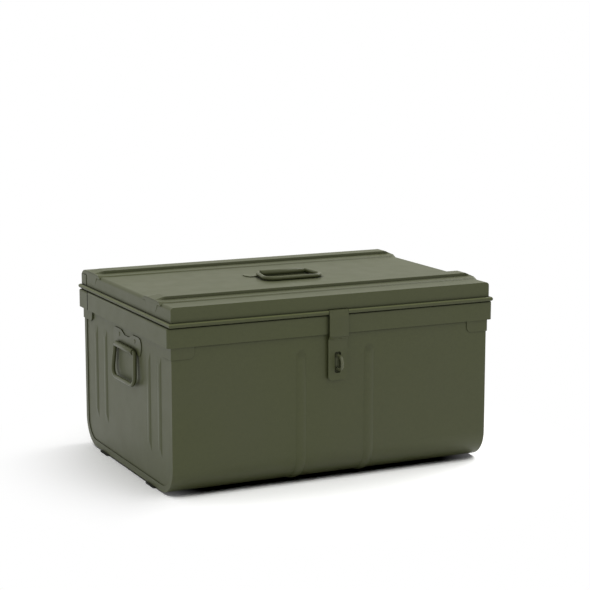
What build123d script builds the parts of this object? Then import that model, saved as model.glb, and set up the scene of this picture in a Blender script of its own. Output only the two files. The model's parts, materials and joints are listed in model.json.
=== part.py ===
from build123d import *
import math
import os

os.makedirs("parts", exist_ok=True)

# Small tin trunk, millimetres. X runs along the trunk, Y from front to rear, Z up.
# Everything is laid out about the middle of the body and shifted once, on export,
# so that the origin is the middle of the footprint, on the floor.

# body
sheet = 1.2
body_length = 500.0
body_depth = 363.0
body_height = 250.5
hem_height = 8.0
bend_radius = 42.0
skid_height = 2.2
skid_width = 30.0
skid_from_wall = 84.5
skid_from_end = 10.0
seam_band = 9.4
pan_flange = 11.0
sheet_gap = 0.1

# ribs pressed out of the front and rear walls
rib_spread = 54.0
rib_half_width = 7.8
rib_crest = 2.0
rib_below_collar = 22.3
rib_fade_turn = 97.0
rib_fade_run = 22.0

# two pairs of ribs pressed out of each end panel
end_rib_half_width = 7.4
end_rib_crest = 1.5
end_rib_fade = 14.0
end_rib_from_wall = 49.5
end_rib_pitch = 41.5
end_rib_lift = 50.5
end_rib_below_collar = 21.3

# collar round the mouth
collar_over_end = 7.35
collar_over_side = 4.5
collar_height = 27.3
collar_below_neck = 8.4
collar_corner = 4.0
collar_edge = 2.2
collar_seam_from_plate = 2.1
collar_seam_gap = 0.6

# corner plates under the collar
plate_below_collar = 17.3
plate_along_end = 39.0
plate_along_front = 34.7
plate_corner = 8.0

# lid
lid_over_end = 1.8
lid_over_side = 3.6
lid_height = 20.2
shoulder_radius = 5.0
wire_below_neck = 4.5
wire_radius = 2.2
curl_bore = 2.25
curl_radius = 3.4
notch_rise = 4.5
notch_gap = 0.5
flap_width = 20.6
flap_rise = 0.7

# stepped ridges pressed up across the lid, and where they run out down the ends
ridge_crest = 5.8
ridge_ledge = 1.8
ridge_crest_half = 12.4
ridge_crest_run = 1.2
ridge_foot_run = 6.5
near_ridge_from_front = 71.1
near_ledge_half = 29.0
far_ridge_from_rear = 46.1
far_ledge_half = 31.5
wedge_top_half = 29.0
wedge_foot_half = 15.0
wedge_side = 3.0
ridge_runout_left = 15.8
ridge_runout_right = 4.8

# hinge leaves on the rear
leaf_width = 30.0
leaf_from_end = 100.0
leaf_thick = 1.4
leaf_over_collar = 3.7
barrel_radius = 3.65
stop_reach = 6.2
stop_drop = 0.2
leaf_rivet_pitch = 16.0
leaf_rivet_down = 6.0

# hasp and staple
hasp_x = 1.5
hasp_width = 30.0
hasp_thick = 1.6
hasp_upper_out = 5.1
hasp_stand = 3.8
hasp_tail = 25.5
hasp_corner = 5.0
joggle_below_collar = 2.8
joggle_drop = 5.5
slot_half = 5.0
slot_below = 15.5
slot_above = 15.2
slot_corner = 3.0
staple_radius = 2.25
staple_below_collar = 41.3
staple_pitch = 20.0
staple_bend = 8.0
staple_reach = 21.0
staple_plate_half = 11.0
staple_plate_over = 9.0
staple_plate_thick = 1.4

# handles
handle_middle = -6.0
handle_below_collar = 31.3
top_handle_x = 6.5
top_handle_y = 11.5
handle_plate = 1.2
plate_half = 58.0
plate_foot_half = 54.0
plate_foot = 3.4
plate_waist = 8.0
lobe_height = 22.8
lobe_inner = 24.5
valley_height = 16.7
valley_half = 9.5
knuckle_radius = 4.4
knuckle_half = 35.5
knuckle_bore = 3.05
bail_radius = 3.0
bail_top_half = 40.5
bail_foot_half = 47.5
bail_drop = 48.4
bail_corner = 14.0
bail_elbow = 5.0
bail_butt_gap = 3.0
bail_lean = 3.5
bail_rest_gap = 0.1
handle_rivet_x = 32.0
handle_rivet_up = 15.0
rivet_radius = 3.2
rivet_rise = 0.6

half_length = body_length / 2
half_depth = body_depth / 2
panel_face = half_length - sheet
neck_top = body_height
collar_high = neck_top - collar_below_neck
collar_low = collar_high - collar_height
collar_x = half_length + collar_over_end
collar_y = half_depth + collar_over_side
band_top = collar_high - sheet - 0.2
plate_low = collar_low - plate_below_collar
collar_seam = half_depth + sheet - plate_along_end + collar_seam_from_plate
rib_top = collar_low - rib_below_collar
end_rib_top = collar_low - end_rib_below_collar
skid_y = half_depth - skid_from_wall
lid_x = half_length + lid_over_end
lid_y = half_depth + lid_over_side
hinge_z = neck_top - wire_below_neck
lid_edge = hinge_z + notch_rise
lid_top = lid_edge + lid_height
curl_offset = sheet
axis_y = lid_y + curl_offset
axis_x = lid_x + curl_offset
near_ridge_y = near_ridge_from_front - lid_y
far_ridge_y = lid_y - far_ridge_from_rear
flap_seam = lid_y - flap_width
notch_half = hasp_width / 2 + notch_gap
leaf_x = half_length - leaf_from_end
leaf_low = collar_low + leaf_over_collar
staple_middle = collar_low - staple_below_collar
staple_tip = half_depth + staple_reach
stop_tail = axis_y + stop_reach
handle_z = collar_low - handle_below_collar
shift_y = (staple_tip - stop_tail) / 2
far = 400.0


def block(x0, x1, y0, y1, z0, z1):
    middle = Pos((x0 + x1) / 2, (y0 + y1) / 2, (z0 + z1) / 2)
    return middle * Box(abs(x1 - x0), abs(y1 - y0), abs(z1 - z0))


def across(sketch, x0, x1):
    # a section drawn in Y and Z, run from one X to another
    return extrude(Plane.YZ.offset(x0) * sketch, x1 - x0)


def along(sketch, y0, y1):
    # a section drawn in X and Z, run from one Y to another
    return extrude(Plane.XZ.offset(-y1) * sketch, y1 - y0)


def patch(points):
    return make_face(Polyline(*points, close=True))


def rounded_patch(corners):
    # each corner as its place and its radius
    face = patch([(x, y) for x, y, radius in corners])
    for x, y, radius in corners:
        if radius > 0:
            face = fillet(face.vertices().sort_by_distance((x, y, 0))[0], radius)
    return face


def bent_wire(points, bends, radius):
    # straight lengths of round wire with a tangent bend at each inner point, in the XY plane
    start = Vector(*points[0])
    wire = None
    for index in range(1, len(points)):
        corner = Vector(*points[index])
        heading = (corner - start).normalized()
        turn = 0.0
        trim = 0.0
        if index < len(points) - 1:
            onward = (Vector(*points[index + 1]) - corner).normalized()
            turn = heading.get_signed_angle(onward, Vector(0, 0, 1))
            trim = bends[index - 1] * math.tan(math.radians(abs(turn)) / 2)
        run = (corner - start).length - trim
        section = Plane(start, z_dir=heading) * Circle(radius)
        if run > 0.01:
            straight = extrude(section, run)
            wire = straight if wire is None else wire + straight
        if turn:
            side = 1 if turn > 0 else -1
            bend_start = start + heading * run
            centre = bend_start + Vector(-heading.Y, heading.X) * (side * bends[index - 1])
            bend_section = Plane(bend_start, z_dir=heading) * Circle(radius)
            wire = wire + revolve(bend_section, Axis(centre, (0, 0, side)), abs(turn))
            start = corner + onward * trim
    return wire


def both_ends(solid):
    return solid, mirror(solid, Plane.YZ)


def save(node, solid):
    export_step(Pos(0, shift_y, 0) * solid, "parts/" + node + ".step")


# ---- body -------------------------------------------------------------------

def tub(inset, top):
    # outline of the body across its depth: flat bottom, two soft bends, open top
    half = half_depth - inset
    low = skid_height + inset
    outline = Pos(0, (top + low) / 2) * Rectangle(2 * half, top - low)
    return fillet(outline.vertices().group_by(Axis.Y)[0], bend_radius - inset)


def rib_section(half_width, crest, back):
    bow = ThreePointArc((-half_width, 0), (0, -crest), (half_width, 0))
    rest = Polyline((half_width, 0), (half_width, back), (-half_width, back), (-half_width, 0))
    return make_face(bow + rest)


def half_rib_section(half_width, crest, back):
    return rib_section(half_width, crest, back) & Pos(half_width, 0) * Rectangle(2 * half_width, far)


def front_rib(x, half_width, crest, inset, back):
    # straight down the wall, round the bend, then sinking into the base
    wall = -half_depth + inset
    bend_z = skid_height + bend_radius
    dome_z = rib_top - rib_half_width
    section = Pos(x, wall, bend_z) * rib_section(half_width, crest, back)
    straight = extrude(section, dome_z - bend_z)
    turn = Axis((0, -half_depth + bend_radius, bend_z), (1, 0, 0))
    bend = revolve(section, turn, rib_fade_turn)
    tail_face = section.rotate(turn, rib_fade_turn)
    angle = math.radians(rib_fade_turn)
    run = Vector(0, math.sin(angle), -math.cos(angle)) * rib_fade_run
    tail = extrude(tail_face, rib_fade_run, dir=run.normalized())
    dome_section = Pos(x, wall, dome_z) * half_rib_section(half_width, crest, back)
    dome = revolve(dome_section, Axis((x, 0, dome_z), (0, 1, 0)), 360)
    return straight + bend + tail + dome


def make_wrap():
    outside = across(tub(0, neck_top), -half_length, half_length)
    inside = across(tub(sheet, neck_top + 10), -half_length - 1, half_length + 1)
    skin = outside
    grooves = []
    for x in (-rib_spread, rib_spread):
        rib = front_rib(x, rib_half_width, rib_crest, 0, 0.6)
        groove = front_rib(x, rib_half_width - 0.9, rib_crest, sheet, 5.0)
        skin = skin + rib + mirror(rib, Plane.XZ)
        grooves = grooves + [groove, mirror(groove, Plane.XZ)]
    skin = skin - inside
    for groove in grooves:
        skin = skin - groove
    band_section = tub(0, neck_top) - tub(seam_band, neck_top + 10)
    for band in both_ends(across(band_section, panel_face, half_length)):
        skin = skin + band
    hem_x = panel_face - pan_flange - 0.3
    hem = block(-hem_x, hem_x, -half_depth + sheet, -half_depth + 2 * sheet, neck_top - hem_height, neck_top)
    skin = skin + hem + mirror(hem, Plane.XZ)
    for trim in both_ends(block(panel_face, far, -far, far, band_top, far)):
        skin = skin - trim
    return skin


def end_rib(middle, half_width, crest, inset, back):
    # a straight rib on the right end panel that sinks into the sheet above and below
    face = panel_face - inset
    low = end_rib_lift
    high = end_rib_top
    section = Plane((face, middle, low), x_dir=(0, 1, 0), z_dir=(0, 0, 1))
    rib = extrude(section * rib_section(half_width, crest, back), high - low)
    run = end_rib_fade
    side = [(face - back, low), (face, low), (face + crest, low + run)]
    side = side + [(face + crest + 1, low + run), (face + crest + 1, high - run)]
    side = side + [(face + crest, high - run), (face, high), (face - back, high)]
    return rib & along(patch(side), middle - half_width - 1, middle + half_width + 1)


def make_end_panel():
    inset = sheet + sheet_gap
    outer = across(tub(inset, neck_top), panel_face - pan_flange, panel_face)
    hollow = across(tub(inset + sheet, neck_top + 10), panel_face - pan_flange - 1, panel_face - sheet)
    panel = outer - hollow
    outer_rib = half_depth - end_rib_from_wall
    inner_rib = outer_rib - end_rib_pitch
    for middle in (-outer_rib, -inner_rib, inner_rib, outer_rib):
        panel = panel + end_rib(middle, end_rib_half_width, end_rib_crest, 0, 0.6)
    for middle in (-outer_rib, -inner_rib, inner_rib, outer_rib):
        panel = panel - end_rib(middle, end_rib_half_width - 0.9, end_rib_crest, sheet, 5.0)
    hem_y = half_depth - inset - sheet
    hem = block(panel_face - 2 * sheet, panel_face - sheet, -hem_y, hem_y, neck_top - hem_height, neck_top)
    return panel + hem


# ---- collar and corner plates --------------------------------------------------

def rounded_leg(reach, height):
    # outline of one leg of a corner plate, its free lower corner rounded
    leg = Pos(reach / 2, height / 2) * Rectangle(reach, height)
    free = leg.vertices().group_by(Axis.Y)[0].sort_by(Axis.X)[-1]
    return fillet(free, plate_corner)


def make_corner_plate():
    # the front right one
    height = band_top - plate_low
    front_plane = Plane((half_length + sheet, -half_depth, plate_low), x_dir=(-1, 0, 0), z_dir=(0, 1, 0))
    front_leg = extrude(front_plane * rounded_leg(plate_along_front, height), -sheet)
    end_plane = Plane((panel_face, -half_depth - sheet, plate_low), x_dir=(0, 1, 0), z_dir=(1, 0, 0))
    end_leg = extrude(end_plane * rounded_leg(plate_along_end, height), 2 * sheet)
    band = block(panel_face - 1, half_length, -half_depth, -half_depth + seam_band, 0, far)
    return front_leg + end_leg - band


def make_collar():
    height = collar_high - collar_low
    middle = Pos(0, 0, (collar_high + collar_low) / 2)
    outer = middle * Box(2 * collar_x, 2 * collar_y, height)
    outer = fillet(outer.edges().filter_by(Axis.Z), collar_corner)
    outer = fillet(outer.faces().sort_by(Axis.Z)[-1].edges(), collar_edge)
    cavity = middle * Box(2 * collar_x - 2 * sheet, 2 * collar_y - 2 * sheet, height - 2 * sheet)
    cavity = fillet(cavity.edges().filter_by(Axis.Z), collar_corner - sheet)
    core = block(-panel_face, panel_face, -half_depth, half_depth, 0, far)
    bands = block(-half_length, half_length, -half_depth, -half_depth + seam_band, 0, band_top)
    return outer - cavity - core - bands - mirror(bands, Plane.XZ)


# ---- lid ------------------------------------------------------------------------

def rim_section(edge):
    # the wall's foot and the edge curled outward round the wire
    axis = Pos(edge + curl_offset, hinge_z)
    curl = axis * Circle(curl_radius)
    wall = Pos(edge - sheet / 2, hinge_z + 1 + (notch_rise - 1) / 2) * Rectangle(sheet, notch_rise - 1)
    slit = Pos(edge + 0.8, hinge_z + 3.5) * Rectangle(1.6, 4.0)
    return curl + wall - slit - axis * Circle(curl_bore)


def mitre_mask():
    reach = 12.0
    side = [(-lid_x - reach, lid_y + reach), (lid_x + reach, lid_y + reach)]
    side = side + [(lid_x - reach, lid_y - reach), (-lid_x + reach, lid_y - reach)]
    end = [(lid_x + reach, lid_y + reach), (lid_x + reach, -lid_y - reach)]
    end = end + [(lid_x - reach, -lid_y + reach), (lid_x - reach, lid_y - reach)]
    low = Plane.XY.offset(hinge_z - 10)
    return extrude(low * patch(side), 30), extrude(low * patch(end), 30)


def frame_of(side_section, end_section):
    # four runs of a section, mitred at the corners
    side_mask, end_mask = mitre_mask()
    rear = across(side_section, -far, far) & side_mask
    right = along(end_section, -far, far) & end_mask
    return rear, mirror(rear, Plane.XZ), right, mirror(right, Plane.YZ)


def ridge_section(centre, ledge, foot, inset):
    base = lid_top - 3.0 - inset
    low = lid_top - inset
    step = low + ridge_ledge - 0.4
    shelf = low + ridge_ledge
    crest = low + ridge_crest
    half = [(foot, base), (foot, low), (foot - 2.0, step), (ledge, shelf)]
    half = half + [(ridge_crest_half + ridge_crest_run, shelf), (ridge_crest_half, crest)]
    left = [(centre - y + inset, z) for y, z in half]
    right = [(centre + y - inset, z) for y, z in reversed(half)]
    return patch(left + right)


def ridge_end_section(centre, ledge, foot, inset):
    base = lid_top - 3.0 - inset
    low = lid_top - inset
    half = [(foot, base), (foot - 1.0, low - 1.2), (ledge + 1.0, low + 0.6), (ledge - 2.0, low + 2.0)]
    half = half + [(ridge_crest_half + 4.6, low + 2.8), (ridge_crest_half + 1.6, low + 3.0)]
    left = [(centre - y + inset, z) for y, z in half]
    right = [(centre + y - inset, z) for y, z in reversed(half)]
    return patch(left + right)


def ridge(centre, ledge, foot, inset):
    full = ridge_section(centre, ledge, foot, inset)
    ending = ridge_end_section(centre, ledge, foot, inset)
    left = -lid_x + ridge_runout_left
    right = lid_x - ridge_runout_right
    body = across(full, left, right)
    edge = lid_x + 0.9 - inset
    left_run = loft([Plane.YZ.offset(left) * full, Plane.YZ.offset(-edge) * ending], ruled=True)
    right_run = loft([Plane.YZ.offset(right) * full, Plane.YZ.offset(edge) * ending], ruled=True)
    return body + left_run + right_run


def wall_wedge(centre, inset):
    # where a ridge runs out down the end wall
    high = Plane.XY.offset(lid_top + 1.2 - inset)
    low = Plane.XY.offset(hinge_z + 8.5)
    proud = lid_x + 1.5 - inset
    back = lid_x - sheet - 0.3 * inset
    foot = lid_x + 0.1 - inset
    head = proud - 0.4
    wide = wedge_top_half - inset
    narrow = wedge_foot_half - inset
    top = [(back, centre - wide), (head, centre - wide + wedge_side)]
    top = top + [(head, centre + wide - wedge_side), (back, centre + wide)]
    bottom = [(back, centre - narrow), (foot, centre - narrow + wedge_side)]
    bottom = bottom + [(foot, centre + narrow - wedge_side), (back, centre + narrow)]
    return loft([low * patch(bottom), high * patch(top)], ruled=True)


def lid_outline(inset, low):
    # ends shouldered over, drawn in X and Z
    half = lid_x - inset
    top = lid_top - inset
    outline = Pos(0, (top + low) / 2) * Rectangle(2 * half, top - low)
    return fillet(outline.vertices().group_by(Axis.Y)[-1], shoulder_radius - inset)


def make_lid():
    outside = along(lid_outline(0, lid_edge), -lid_y, lid_y)
    near = (near_ridge_y, near_ledge_half, near_ledge_half + ridge_foot_run)
    rear = (far_ridge_y, far_ledge_half, far_ledge_half + ridge_foot_run)
    ridges = (near, rear)
    for centre, ledge, foot in ridges:
        outside = outside + ridge(centre, ledge, foot, 0)
        for wedge in both_ends(wall_wedge(centre, 0)):
            outside = outside + wedge
    for flap in both_ends(block(lid_x, lid_x + flap_rise, flap_seam, lid_y, lid_edge, lid_top - shoulder_radius)):
        outside = outside + flap
    inside = along(lid_outline(sheet, lid_edge - 5), -lid_y + sheet, lid_y - sheet)
    shell = outside - inside
    for centre, ledge, foot in ridges:
        shell = shell - ridge(centre, ledge, foot, sheet)
    rear, front, right, left = frame_of(rim_section(lid_y), rim_section(lid_x))
    front = front - block(hasp_x - notch_half, hasp_x + notch_half, -far, 0, 0, lid_edge)
    for x in (-leaf_x, leaf_x):
        rear = rear - block(x - notch_half, x + notch_half, 0, far, 0, lid_edge)
    return shell + rear + front + right + left


def make_wire():
    side_section = Pos(axis_y, hinge_z) * Circle(wire_radius)
    end_section = Pos(axis_x, hinge_z) * Circle(wire_radius)
    rear, front, right, left = frame_of(side_section, end_section)
    return rear + front + right + left


# ---- hinge leaves, hasp and staple -----------------------------------------------

def make_leaf(x):
    barrel = Circle(barrel_radius)
    plate_top = hinge_z - leaf_low - wire_radius - 0.6
    plate_y = collar_y - axis_y + leaf_thick / 2
    plate = Pos(plate_y, -wire_radius - 0.6 - plate_top / 2) * Rectangle(leaf_thick, plate_top)
    tail_start = barrel_radius - 0.85
    tail = Rectangle(stop_reach - tail_start, leaf_thick)
    tail = Pos((stop_reach + tail_start) / 2, -stop_drop - leaf_thick / 2) * tail
    section = barrel + plate + tail - Circle(curl_bore)
    return across(Pos(axis_y, hinge_z) * section, x - leaf_width / 2, x + leaf_width / 2)


def make_rivets(points, plane_face):
    # flat-topped heads on a face of the given plane
    heads = []
    for u, v in points:
        head = Pos(u, v, rivet_rise / 2) * Cone(rivet_radius, rivet_radius - rivet_rise, rivet_rise)
        heads.append(plane_face * head)
    return Compound(heads)


def make_hasp():
    # drawn in Y and Z on the rear side, then turned to the front
    upper_face = axis_y + hasp_upper_out
    lower_face = half_depth + hasp_stand + hasp_thick
    eye_radius = curl_bore + hasp_thick
    eye = Pos(axis_y, hinge_z) * Circle(eye_radius)
    bottom = staple_middle - hasp_tail
    high = collar_low - joggle_below_collar
    low = high - joggle_drop
    neck = hinge_z - eye_radius - 2.15
    strap = [(axis_y + eye_radius, hinge_z), (upper_face, neck), (upper_face, high)]
    strap = strap + [(lower_face, low), (lower_face, bottom)]
    strap = strap + [(lower_face - hasp_thick, bottom), (lower_face - hasp_thick, low)]
    strap = strap + [(upper_face - hasp_thick, high), (upper_face - hasp_thick, neck - 0.6)]
    strap = strap + [(axis_y + curl_bore, hinge_z)]
    section = eye + patch(strap) - Pos(axis_y, hinge_z) * Circle(curl_bore)
    half = hasp_width / 2
    hasp = mirror(across(section, hasp_x - half, hasp_x + half), Plane.XZ)
    feet = hasp.edges().filter_by(Axis.Y).group_by(Axis.Z)[0]
    hasp = fillet(feet, hasp_corner)
    slot_low = staple_middle - slot_below
    slot_high = staple_middle + slot_above
    slot = block(hasp_x - slot_half, hasp_x + slot_half, -far, -half_depth, slot_low, slot_high)
    slot = fillet(slot.edges().filter_by(Axis.Y), slot_corner)
    return hasp - slot


def make_staple():
    # a wire loop standing out of the front wall
    half = staple_pitch / 2
    reach = staple_reach - staple_radius
    corners = [(0, half), (reach, half), (reach, -half), (0, -half)]
    loop = bent_wire(corners, [staple_bend, staple_bend], staple_radius)
    root = Plane((hasp_x, -half_depth, staple_middle), x_dir=(0, -1, 0), z_dir=(1, 0, 0))
    return root.location * loop


def make_staple_plate(staple):
    high = staple_pitch / 2 + staple_plate_over
    front = -half_depth - staple_plate_thick
    left = hasp_x - staple_plate_half
    right = hasp_x + staple_plate_half
    plate = block(left, right, front, -half_depth, staple_middle - high, staple_middle + high)
    return plate - staple


# ---- handles ---------------------------------------------------------------------

def handle_outline():
    # twin lobes with a shallow valley between them, u across and v up from the knuckle axis
    right = [(plate_foot_half, -plate_foot, 2.0), (plate_half, plate_waist, 12.0)]
    right = right + [(plate_half - 1.5, lobe_height, 10.0), (lobe_inner, lobe_height, 7.0)]
    right = right + [(valley_half, valley_height, 9.0)]
    left = [(-u, v, radius) for u, v, radius in reversed(right)]
    return rounded_patch(right + left)


def handle_plate_solid():
    # flat against Z = 0, knuckle running along X
    plate = extrude(handle_outline(), handle_plate)
    tube = Plane.YZ * (Pos(0, knuckle_radius) * (Circle(knuckle_radius) - Circle(knuckle_bore)))
    return plate + extrude(tube, knuckle_half, both=True)


def bail_solid():
    # hangs from the knuckle axis toward -Y, its two ends butting inside the knuckle
    gap = bail_butt_gap / 2
    right = [(gap, 0), (bail_top_half, 0), (bail_foot_half, -bail_drop), (0, -bail_drop)]
    half = bent_wire(right, [bail_elbow, bail_corner], bail_radius)
    return Pos(0, 0, knuckle_radius) * (half + mirror(half, Plane.YZ))


def handle_rivet_points():
    return [(-handle_rivet_x, handle_rivet_up), (handle_rivet_x, handle_rivet_up)]


left_wall = Plane((-panel_face, handle_middle, handle_z), x_dir=(0, -1, 0), z_dir=(-1, 0, 0))
lid_face = Plane((top_handle_x, top_handle_y, lid_top), x_dir=(1, 0, 0), z_dir=(0, 0, 1))

save("body_wrap", make_wrap())
end_right, end_left = both_ends(make_end_panel())
save("end_panel_right", end_right)
save("end_panel_left", end_left)

corner_fr, corner_fl = both_ends(make_corner_plate())
corner_rr = mirror(corner_fr, Plane.XZ)
corner_rl = mirror(corner_fl, Plane.XZ)
save("corner_plate_front_right", corner_fr)
save("corner_plate_front_left", corner_fl)
save("corner_plate_rear_right", corner_rr)
save("corner_plate_rear_left", corner_rl)

collar = make_collar() - corner_fr - corner_fl - corner_rr - corner_rl
seam_half = collar_seam_gap / 2
save("collar_front", collar & block(-far, far, -far, collar_seam - seam_half, 0, far))
save("collar_rear", collar & block(-far, far, collar_seam + seam_half, far, 0, far))

skid_x = half_length - skid_from_end
for name, y in (("skid_front", -skid_y), ("skid_rear", skid_y)):
    save(name, block(-skid_x, skid_x, y - skid_width / 2, y + skid_width / 2, 0, skid_height))

save("lid_shell", make_lid())
save("lid_wire", make_wire())

for name, x in (("left", -leaf_x), ("right", leaf_x)):
    save("hinge_leaf_" + name, make_leaf(x))
    face = Plane((x, collar_y + leaf_thick, (leaf_low + hinge_z) / 2), x_dir=(-1, 0, 0), z_dir=(0, 1, 0))
    rivet_u = leaf_rivet_pitch / 2
    save("hinge_rivets_" + name, make_rivets([(-rivet_u, -leaf_rivet_down), (rivet_u, -leaf_rivet_down)], face))

save("hasp_strap", make_hasp())
staple = make_staple()
save("staple", staple)
save("staple_plate", make_staple_plate(staple))

plate_solid = handle_plate_solid()
bail = bail_solid()
rivets = make_rivets(handle_rivet_points(), Plane.XY.offset(handle_plate))
end_plate = left_wall.location * plate_solid
end_axis = Axis((-panel_face - knuckle_radius, handle_middle, handle_z), (0, 1, 0))
end_bail = (left_wall.location * bail).rotate(end_axis, bail_lean)
end_rivets = left_wall.location * rivets
save("left_handle_plate", end_plate)
save("left_bail", end_bail)
save("left_handle_rivets", end_rivets)
save("right_handle_plate", mirror(end_plate, Plane.YZ))
save("right_bail", mirror(end_bail, Plane.YZ))
save("right_handle_rivets", mirror(end_rivets, Plane.YZ))
save("top_handle_plate", lid_face.location * plate_solid)
save("top_handle_rivets", lid_face.location * rivets)

# the top bail drops forward until it rests on the lid
rest_angle = math.degrees(math.asin((knuckle_radius - bail_radius - bail_rest_gap) / bail_drop))
top_axis = Axis((top_handle_x, top_handle_y, lid_top + knuckle_radius), (1, 0, 0))
save("top_bail", (lid_face.location * bail).rotate(top_axis, rest_angle))
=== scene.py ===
import json
import math

import bpy
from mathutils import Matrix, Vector


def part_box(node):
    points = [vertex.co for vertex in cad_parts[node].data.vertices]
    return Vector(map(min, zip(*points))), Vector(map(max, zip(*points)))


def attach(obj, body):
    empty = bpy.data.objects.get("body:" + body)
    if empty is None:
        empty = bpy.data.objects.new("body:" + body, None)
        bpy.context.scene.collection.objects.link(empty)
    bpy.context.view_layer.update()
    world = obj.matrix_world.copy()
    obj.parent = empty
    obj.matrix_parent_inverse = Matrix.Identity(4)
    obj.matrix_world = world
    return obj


print("trunk: loading the packed solids")
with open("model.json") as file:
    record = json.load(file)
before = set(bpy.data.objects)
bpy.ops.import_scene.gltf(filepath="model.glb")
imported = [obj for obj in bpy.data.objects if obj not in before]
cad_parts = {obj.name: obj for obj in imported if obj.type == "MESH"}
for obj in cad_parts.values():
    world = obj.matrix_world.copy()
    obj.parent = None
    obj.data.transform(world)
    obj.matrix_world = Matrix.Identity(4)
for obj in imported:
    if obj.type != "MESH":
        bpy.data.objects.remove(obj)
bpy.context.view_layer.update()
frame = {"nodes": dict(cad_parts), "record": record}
bpy.ops.object.select_all(action="DESELECT")
bpy.context.scene.view_settings.view_transform = "Standard"

# camera, metres: where it stands, how far it turns right and looks down
cameraSetup = {
    "place": (-1.10106, -2.34450, 0.68710),
    "turn": 25.575,
    "down": 9.745,
    "sensor": 36,
    "lens": 106.403,
    "seesTo": 60,
}


def placeCamera(setup):
    bpy.ops.object.camera_add(location=setup["place"])
    camera = bpy.context.object
    camera.name = "studioCamera"
    camera.rotation_euler = (
        math.radians(90 - setup["down"]),
        0,
        math.radians(-setup["turn"]),
    )
    camera.data.sensor_width = setup["sensor"]
    camera.data.lens = setup["lens"]
    camera.data.clip_end = setup["seesTo"]
    bpy.context.scene.camera = camera


placeCamera(cameraSetup)

# soft boxes: one high on the right, a lower one behind the left end, a weak one in front on the right
lampSetup = {
    "rightHigh": {
        "place": (1.8, 0.6, 2.0),
        "aim": (0, 0, 0.2),
        "size": 1.3,
        "power": 22.0,
        "colour": (1, 1, 0.985),
    },
    "leftRear": {
        "place": (-2.3, 0.9, 1.15),
        "aim": (-0.25, 0, 0.15),
        "size": 1.3,
        "power": 0.8,
        "colour": (1, 1, 1),
    },
    "frontRight": {
        "place": (1.5, -2.6, 1.5),
        "aim": (0, 0, 0.12),
        "size": 1.4,
        "power": 3.0,
        "colour": (1, 1, 0.98),
    },
}


def placeLamp(name, setup):
    place = Vector(setup["place"])
    bpy.ops.object.light_add(type="AREA", location=place)
    lamp = bpy.context.object
    lamp.name = name
    lamp.rotation_euler = (Vector(setup["aim"]) - place).to_track_quat("-Z", "Y").to_euler()
    lamp.data.shape = "DISK"
    lamp.data.size = setup["size"]
    lamp.data.energy = setup["power"]
    lamp.data.color = setup["colour"]


for lampName, lampValues in lampSetup.items():
    placeLamp(lampName, lampValues)


# short ways to the nodes that the room, the floor and the paints are linked from
def linkMath(tree, operation, first, second):
    step = tree.nodes.new("ShaderNodeMath")
    step.operation = operation
    tree.links.new(first, step.inputs[0])
    tree.links.new(second, step.inputs[1])
    return step.outputs[0]


def linkVector(tree, operation, vector):
    step = tree.nodes.new("ShaderNodeVectorMath")
    step.operation = operation
    tree.links.new(vector, step.inputs[0])
    return step


def scaleTone(tree, tone, amount):
    product = linkVector(tree, "SCALE", tone)
    tree.links.new(amount, product.inputs["Scale"])
    return product.outputs["Vector"]


def stretchRange(tree, value, start, end, low, high, steps="LINEAR"):
    span = tree.nodes.new("ShaderNodeMapRange")
    span.interpolation_type = steps
    span.inputs["From Min"].default_value = start
    span.inputs["From Max"].default_value = end
    span.inputs["To Min"].default_value = low
    span.inputs["To Max"].default_value = high
    tree.links.new(value, span.inputs["Value"])
    return span.outputs["Result"]


def turnRound(tree, value):
    return stretchRange(tree, value, 0, 1, 1, 0)


def linkPlace(tree):
    spot = tree.nodes.new("ShaderNodeTexCoord")
    return spot.outputs["Object"]


def splitPlace(tree):
    split = tree.nodes.new("ShaderNodeSeparateXYZ")
    tree.links.new(linkPlace(tree), split.inputs["Vector"])
    return split.outputs


def linkGaps(tree, reach, samples):
    gaps = tree.nodes.new("ShaderNodeAmbientOcclusion")
    gaps.samples = samples
    gaps.inputs["Distance"].default_value = reach
    return gaps.outputs["AO"]


def linkRays(tree):
    rays = tree.nodes.new("ShaderNodeLightPath")
    mirrored = linkMath(tree, "MAXIMUM", rays.outputs["Is Glossy Ray"], rays.outputs["Is Transmission Ray"])
    return rays.outputs["Is Camera Ray"], mirrored


def mixShaders(tree, amount, first, second):
    either = tree.nodes.new("ShaderNodeMixShader")
    tree.links.new(amount, either.inputs["Fac"])
    tree.links.new(first, either.inputs[1])
    tree.links.new(second, either.inputs[2])
    return either.outputs[0]


# room: a soft glow lights the object, white is seen behind it and a creamier white is mirrored in it
roomSetup = {"glow": 0.79, "seen": (1.0, 1.0, 1.0, 1), "mirrored": (0.90, 0.91, 0.79, 1)}


def addGlow(tree, colour, strength):
    glow = tree.nodes.new("ShaderNodeBackground")
    glow.inputs["Color"].default_value = colour
    glow.inputs["Strength"].default_value = strength
    return glow.outputs[0]


def lightRoom(setup):
    world = bpy.data.worlds.new("studioRoom")
    bpy.context.scene.world = world
    world.use_nodes = True
    tree = world.node_tree
    tree.nodes.clear()
    out = tree.nodes.new("ShaderNodeOutputWorld")
    lighting = addGlow(tree, setup["seen"], setup["glow"])
    seen, mirrored = linkRays(tree)
    room = mixShaders(tree, mirrored, lighting, addGlow(tree, setup["mirrored"], 1))
    room = mixShaders(tree, seen, room, addGlow(tree, setup["seen"], 1))
    tree.links.new(room, out.inputs["Surface"])


lightRoom(roomSetup)

# floor: white paper that fades into the white room, with a painted contact shadow that is darkest where the
# trunk all but touches it
floorSetup = {
    "radius": 14.0,
    "sides": 96,
    "paper": (0.74, 0.74, 0.73, 1),
    "white": (1, 1, 1, 1),
    "seenLeft": 1.18,
    "seenFront": 1.72,
    "leftSpan": 0.09,
    "contactReach": 0.09,
    "contactSamples": 12,
    "contactDark": 0.262,
    "contactClear": 0.472,
    "fadeStart": 0.24,
    "fadeEnd": 0.47,
}


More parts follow.
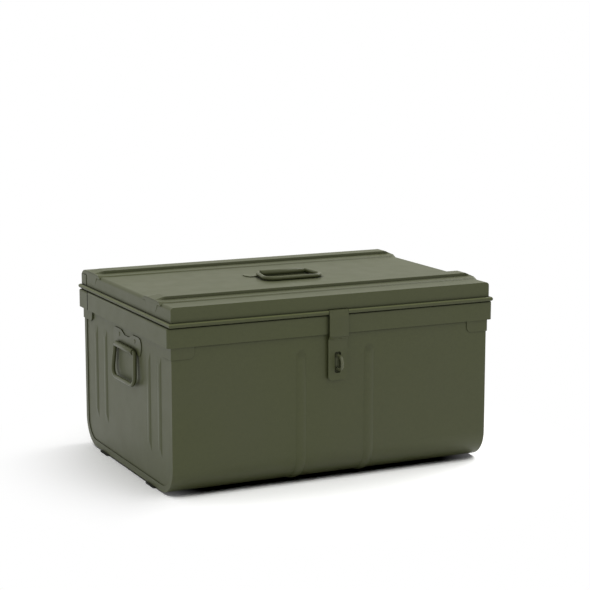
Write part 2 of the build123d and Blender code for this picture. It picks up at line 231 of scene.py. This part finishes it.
def mixFloorPaper(setup):
    paper = bpy.data.materials.new("floorPaper")
    paper.use_nodes = True
    tree = paper.node_tree
    tree.nodes.clear()
    out = tree.nodes.new("ShaderNodeOutputMaterial")
    plain = tree.nodes.new("ShaderNodeBsdfDiffuse")
    plain.inputs["Color"].default_value = setup["paper"]

    # what is seen or mirrored of the paper is darkened by a painted contact shadow,
    # and it is painted darker beyond the left end than in front, as a soft shadow
    gaps = linkGaps(tree, setup["contactReach"], setup["contactSamples"])
    contact = stretchRange(tree, gaps, setup["contactDark"], setup["contactClear"], 0, 1, "SMOOTHSTEP")
    place = splitPlace(tree)
    across = linkMath(tree, "SUBTRACT", place["X"], place["Y"])
    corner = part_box("body_wrap")[0]
    border = corner[0] - corner[1]
    start = border - setup["leftSpan"]
    end = border + setup["leftSpan"]
    lit = stretchRange(tree, across, start, end, setup["seenLeft"], setup["seenFront"], "SMOOTHSTEP")
    near = tree.nodes.new("ShaderNodeBsdfDiffuse")
    tree.links.new(linkMath(tree, "MULTIPLY", contact, lit), near.inputs["Color"])

    # farther out it is as white as the room
    far = tree.nodes.new("ShaderNodeEmission")
    far.inputs["Color"].default_value = setup["white"]
    away = linkVector(tree, "LENGTH", linkPlace(tree)).outputs["Value"]
    fade = stretchRange(tree, away, setup["fadeStart"], setup["fadeEnd"], 0, 1, "SMOOTHSTEP")
    outward = mixShaders(tree, fade, near.outputs[0], far.outputs[0])
    seen, mirrored = linkRays(tree)
    either = linkMath(tree, "MAXIMUM", seen, mirrored)
    tree.links.new(mixShaders(tree, either, plain.outputs[0], outward), out.inputs["Surface"])
    return paper


def layFloor(setup):
    bpy.ops.mesh.primitive_circle_add(
        vertices=setup["sides"], radius=setup["radius"], fill_type="NGON", location=(0, 0, 0)
    )
    floor = bpy.context.object
    floor.name = "studioFloor"
    floor.data.materials.append(mixFloorPaper(setup))


layFloor(floorSetup)
print("trunk: camera, lamps and floor are in place")

# satin olive paint, one mix for each kind of piece: two shades that drift into each other,
# how glossy it is, the orange peel of a sprayed coat, and how far and how dark painted shade lies in its
# gaps and inner corners
oliveShades = {"green": (0.0615, 0.0695, 0.0240), "grey": (0.0635, 0.0700, 0.0280)}
sheetCoat = {"gloss": (0.43, 0.47), "peel": 0.10}
paintSetup = {
    "bodyPaint": {**oliveShades, **sheetCoat, "drift": 5.0, "gapReach": 0.004, "gapShadeTone": 0.2},
    "endPaint": {**oliveShades, **sheetCoat, "drift": 5.0, "gapReach": 0.006, "gapShadeTone": 0.12},
    "collarPaint": {**oliveShades, **sheetCoat, "drift": 5.0, "gapReach": 0.006, "gapShadeTone": 0.05},
    "lidPaint": {**oliveShades, **sheetCoat, "drift": 4.0, "gapReach": 0.006, "gapShadeTone": 0.0},
    "platePaint": {**oliveShades, **sheetCoat, "drift": 9.0, "gapReach": 0.0015, "gapShadeTone": 0.8},
    "fittingPaint": {
        **oliveShades,
        "gloss": (0.36, 0.46),
        "peel": 0.08,
        "drift": 14.0,
        "gapReach": 0.005,
        "gapShadeTone": 0.3,
    },
    "wirePaint": {
        **oliveShades,
        "gloss": (0.30, 0.40),
        "peel": 0.05,
        "drift": 22.0,
        "gapReach": 0.002,
        "gapShadeTone": 0.6,
    },
    # the staple is a paler olive than the rest: a painted highlight standing in for the light it catches
    "stapleHighlightPaint": {
        "green": (0.095, 0.103, 0.052),
        "grey": (0.125, 0.131, 0.080),
        "gloss": (0.22, 0.34),
        "peel": 0.05,
        "drift": 90.0,
        "gapReach": 0.001,
        "gapShadeTone": 0.8,
    },
    "skidPaint": {
        "green": (0.010, 0.011, 0.008),
        "grey": (0.013, 0.014, 0.011),
        "gloss": (0.86, 0.94),
        "peel": 0.12,
        "drift": 30.0,
        "gapReach": 0.003,
        "gapShadeTone": 0.7,
    },
}
# what all the paints share; a noise is its scale, detail and roughness
coatSetup = {
    "specular": 0.36,
    "driftDetail": 3,
    "driftRoughness": 0.45,
    "driftRange": (0.36, 0.64),
    "speckNoise": (240.0, 4, 0.7),
    "speckRange": (0.35, 0.75),
    "speck": 0.05,
    "gapSamples": 8,
    "gapRange": (0.25, 0.94),
    "sheenNoise": (38.0, 3, 0.5),
    "sheenRange": (0.3, 0.7),
    "peelNoise": (620.0, 2, 0.5),
    "peelDepth": 0.00012,
}
# the two halves of the collar meet in an open seam near each rear corner; its line is darkened and dulled
# with painted shade
seamShadeSetup = {"halfWidth": 0.0016, "tone": 0.02}
# painted shade darkens a small spot where each of the two front ribs begins
ribEndShadeSetup = {"side": 0.054, "height": 0.189, "near": 0.001, "far": 0.009, "tone": 0.80}
# a painted highlight lightens the upper side of the wired lid edge
rimHighlightSetup = {"start": 0.0013, "reach": 0.0025, "soft": 0.0004, "tone": 1.9}


def linkNoise(tree, place, scale, detail, roughness):
    noise = tree.nodes.new("ShaderNodeTexNoise")
    noise.inputs["Scale"].default_value = scale
    noise.inputs["Detail"].default_value = detail
    noise.inputs["Roughness"].default_value = roughness
    tree.links.new(place, noise.inputs["Vector"])
    return noise.outputs["Fac"]


def toneBy(paint, amount):
    tree = paint.node_tree
    shader = tree.nodes["Principled BSDF"]
    tone = shader.inputs["Base Color"].links[0].from_socket
    tree.links.new(scaleTone(tree, tone, amount), shader.inputs["Base Color"])


def dullBy(paint, amount):
    tree = paint.node_tree
    shader = tree.nodes["Principled BSDF"]
    gloss = turnRound(tree, shader.inputs["Roughness"].links[0].from_socket)
    kept = linkMath(tree, "MULTIPLY", gloss, amount)
    tree.links.new(turnRound(tree, kept), shader.inputs["Roughness"])


def mixPaint(name, setup, coat):
    paint = bpy.data.materials.new(name)
    paint.use_nodes = True
    tree = paint.node_tree
    shader = tree.nodes["Principled BSDF"]
    shader.inputs["Specular IOR Level"].default_value = coat["specular"]
    place = linkPlace(tree)

    shades = tree.nodes.new("ShaderNodeValToRGB")
    for stop, position, shade in zip(shades.color_ramp.elements, coat["driftRange"], ("green", "grey")):
        stop.position = position
        stop.color = setup[shade] + (1,)
    drift = linkNoise(tree, place, setup["drift"], coat["driftDetail"], coat["driftRoughness"])
    tree.links.new(drift, shades.inputs["Fac"])
    tree.links.new(shades.outputs["Color"], shader.inputs["Base Color"])

    # dust specks, barely lighter than the coat
    specks = linkNoise(tree, place, *coat["speckNoise"])
    toneBy(paint, stretchRange(tree, specks, *coat["speckRange"], 1 - coat["speck"], 1 + coat["speck"]))

    # gloss wanders a little, as it does where a coat is thicker
    sheen = linkNoise(tree, place, *coat["sheenNoise"])
    glossy = stretchRange(tree, sheen, *coat["sheenRange"], *setup["gloss"])
    tree.links.new(glossy, shader.inputs["Roughness"])

    # painted shade darkens every gap and inner corner, and the paint there is made duller as well
    gaps = linkGaps(tree, setup["gapReach"], coat["gapSamples"])
    depth = stretchRange(tree, gaps, *coat["gapRange"], setup["gapShadeTone"], 1)
    toneBy(paint, depth)
    dullBy(paint, depth)

    bump = tree.nodes.new("ShaderNodeBump")
    bump.inputs["Strength"].default_value = setup["peel"]
    bump.inputs["Distance"].default_value = coat["peelDepth"]
    tree.links.new(linkNoise(tree, place, *coat["peelNoise"]), bump.inputs["Height"])
    tree.links.new(bump.outputs["Normal"], shader.inputs["Normal"])
    return paint


def shadeSeam(paint, setup, place):
    tree = paint.node_tree
    near = tree.nodes.new("ShaderNodeMath")
    near.operation = "COMPARE"
    near.inputs[1].default_value = place
    near.inputs[2].default_value = setup["halfWidth"]
    tree.links.new(splitPlace(tree)["Y"], near.inputs[0])
    # painted shade inside the open seam, with a duller gloss
    dark = stretchRange(tree, near.outputs["Value"], 0, 1, 1, setup["tone"])
    toneBy(paint, dark)
    dullBy(paint, dark)


def shadeRibEnds(paint, setup, face):
    tree = paint.node_tree
    for side in (-1, 1):
        away = linkVector(tree, "DISTANCE", linkPlace(tree))
        away.inputs[1].default_value = (side * setup["side"], face, setup["height"])
        # a soft spot of painted shade around each rib's upper end
        ribEndShade = stretchRange(tree, away.outputs["Value"], setup["near"], setup["far"], setup["tone"], 1)
        toneBy(paint, ribEndShade)


def paintRimHighlight(paint, setup, middle):
    tree = paint.node_tree
    height = splitPlace(tree)["Z"]
    start = middle + setup["start"]
    end = middle + setup["reach"]
    above = stretchRange(tree, height, start, start + setup["soft"], 0, 1)
    below = stretchRange(tree, height, end, end + setup["soft"], 1, 0)
    highlightBand = linkMath(tree, "MULTIPLY", above, below)
    # the band is lightened as a painted highlight
    toneBy(paint, stretchRange(tree, highlightBand, 0, 1, 1, setup["tone"]))


paints = {}
for paintName, paintValues in paintSetup.items():
    paints[paintName] = mixPaint(paintName, paintValues, coatSetup)

seamPlace = (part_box("collar_front")[1][1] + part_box("collar_rear")[0][1]) / 2
shadeSeam(paints["collarPaint"], seamShadeSetup, seamPlace)
shadeRibEnds(paints["bodyPaint"], ribEndShadeSetup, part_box("body_wrap")[0][1])
wireLow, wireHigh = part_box("lid_wire")
paintRimHighlight(paints["lidPaint"], rimHighlightSetup, (wireLow[2] + wireHigh[2]) / 2)

slotPaint = {
    "body_paint": "bodyPaint",
    "lid_paint": "lidPaint",
    "fitting_paint": "fittingPaint",
    "wire_paint": "wirePaint",
}
# pieces whose paint differs from that of their slot
nodePaint = {
    "end_panel_left": "endPaint",
    "end_panel_right": "endPaint",
    "collar_front": "collarPaint",
    "collar_rear": "collarPaint",
    "corner_plate_front_left": "platePaint",
    "corner_plate_front_right": "platePaint",
    "corner_plate_rear_left": "platePaint",
    "corner_plate_rear_right": "platePaint",
    "staple": "stapleHighlightPaint",
    "skid_front": "skidPaint",
    "skid_rear": "skidPaint",
}


def dressNodes():
    for entry in frame["record"]["subparts"]:
        node = frame["nodes"][entry["node"]]
        chosen = nodePaint.get(entry["node"], slotPaint[entry["material_slot"]])
        for slot in node.material_slots:
            slot.material = paints[chosen]


dressNodes()
print("trunk: every solid has its paint")

# pressed sheet has no knife edges: the facets of each solid are joined and its edges eased
easeSetup = {"joinWithin": 0.000002, "segments": 2, "fromAngle": 40}
edgeWidths = {
    "collar_front": 0.0005,
    "collar_rear": 0.0005,
    "hasp_strap": 0.0005,
    "corner_plate_front_left": 0.0004,
    "corner_plate_front_right": 0.0004,
    "corner_plate_rear_left": 0.0004,
    "corner_plate_rear_right": 0.0004,
    "staple_plate": 0.0004,
    "hinge_leaf_left": 0.0004,
    "hinge_leaf_right": 0.0004,
    "left_handle_plate": 0.0004,
    "right_handle_plate": 0.0004,
    "top_handle_plate": 0.0004,
}


def easeEdges(node, width, setup):
    join = node.modifiers.new("joinFaces", "WELD")
    join.merge_threshold = setup["joinWithin"]
    ease = node.modifiers.new("easeEdges", "BEVEL")
    ease.width = width
    ease.segments = setup["segments"]
    ease.limit_method = "ANGLE"
    ease.angle_limit = math.radians(setup["fromAngle"])
    ease.harden_normals = True


for nodeName, easeWidth in edgeWidths.items():
    easeEdges(frame["nodes"][nodeName], easeWidth, easeSetup)
print("trunk: sheet edges are eased")

# black rubber tips that close the ends of both skids and stand a little past the end panels
tipSetup = {
    "gap": 0.0002,
    "past": 0.0030,
    "round": 0.0006,
    "roundSteps": 3,
    "rim": 0.00035,
    "dip": 0.0004,
    "outward": 0.99,
    "smoothAngle": 35,
}


def makeSkidTip(name, skidName, side, setup):
    low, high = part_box(skidName)
    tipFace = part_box("body_wrap")[1][0] + setup["past"]
    skidFace = high[0] + setup["gap"]
    length = tipFace - skidFace
    size = (length, high[1] - low[1], high[2] - low[2])
    middle = (side * (skidFace + length / 2), (low[1] + high[1]) / 2, (low[2] + high[2]) / 2)
    bpy.ops.object.select_all(action="DESELECT")
    bpy.ops.mesh.primitive_cube_add(size=1, location=middle, scale=size)
    tip = bpy.context.object
    tip.name = name
    bpy.ops.object.transform_apply(location=True, rotation=True, scale=True)
    bpy.ops.object.mode_set(mode="EDIT")
    bpy.ops.mesh.select_all(action="SELECT")
    bpy.ops.mesh.bevel(offset=setup["round"], segments=setup["roundSteps"], affect="EDGES")
    bpy.ops.mesh.select_all(action="DESELECT")
    bpy.ops.object.mode_set(mode="OBJECT")
    for face in tip.data.polygons:
        face.select = face.normal.x * side > setup["outward"]
    bpy.ops.object.mode_set(mode="EDIT")
    bpy.ops.mesh.inset(thickness=setup["rim"], depth=-setup["dip"])
    bpy.ops.object.mode_set(mode="OBJECT")
    bpy.ops.object.shade_smooth_by_angle(angle=math.radians(setup["smoothAngle"]))
    tip.data.materials.append(paints["skidPaint"])
    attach(tip, "trunk")
    tip.select_set(False)


for skidName, skidWord in (("skid_front", "Front"), ("skid_rear", "Rear")):
    for side, sideWord in ((-1, "Left"), (1, "Right")):
        makeSkidTip("skidTip" + skidWord + sideWord, skidName, side, tipSetup)
print("trunk: skid tips are on")

print("trunk: finished")
